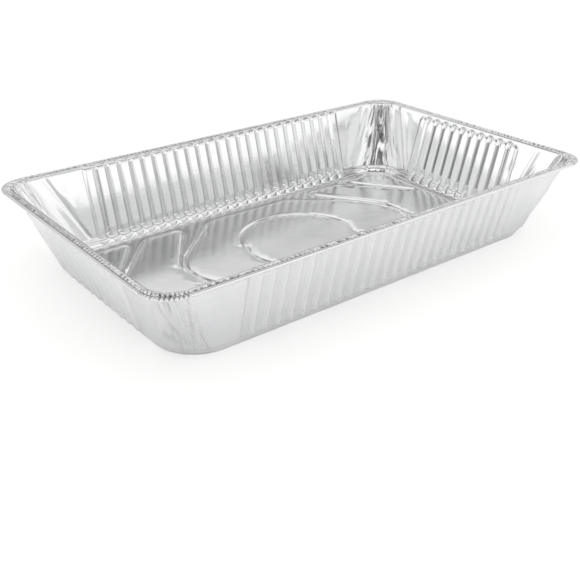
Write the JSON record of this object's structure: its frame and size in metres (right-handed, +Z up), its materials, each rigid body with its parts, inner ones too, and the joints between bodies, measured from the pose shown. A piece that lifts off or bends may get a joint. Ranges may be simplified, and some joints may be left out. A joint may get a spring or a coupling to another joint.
{
  "type": "foil roasting pan",
  "caption": "Deep rectangular roasting pan pressed from one sheet of foil, with sloping fluted walls, gathered corners, a rolled rim and a raised floor with pressed panels.",
  "frame": {"origin": "middle of the face that the pan stands on, at the bottom of its box", "axes": "+Z up, +X along the long side, +Y along the short side"},
  "size_m": [0.527, 0.322, 0.083],
  "materials": {
    "foil": "bright rolled foil, softly reflective with a fine grain"
  },
  "bodies": {
    "root": {"pan": "foil"}
  },
  "joints": []
}
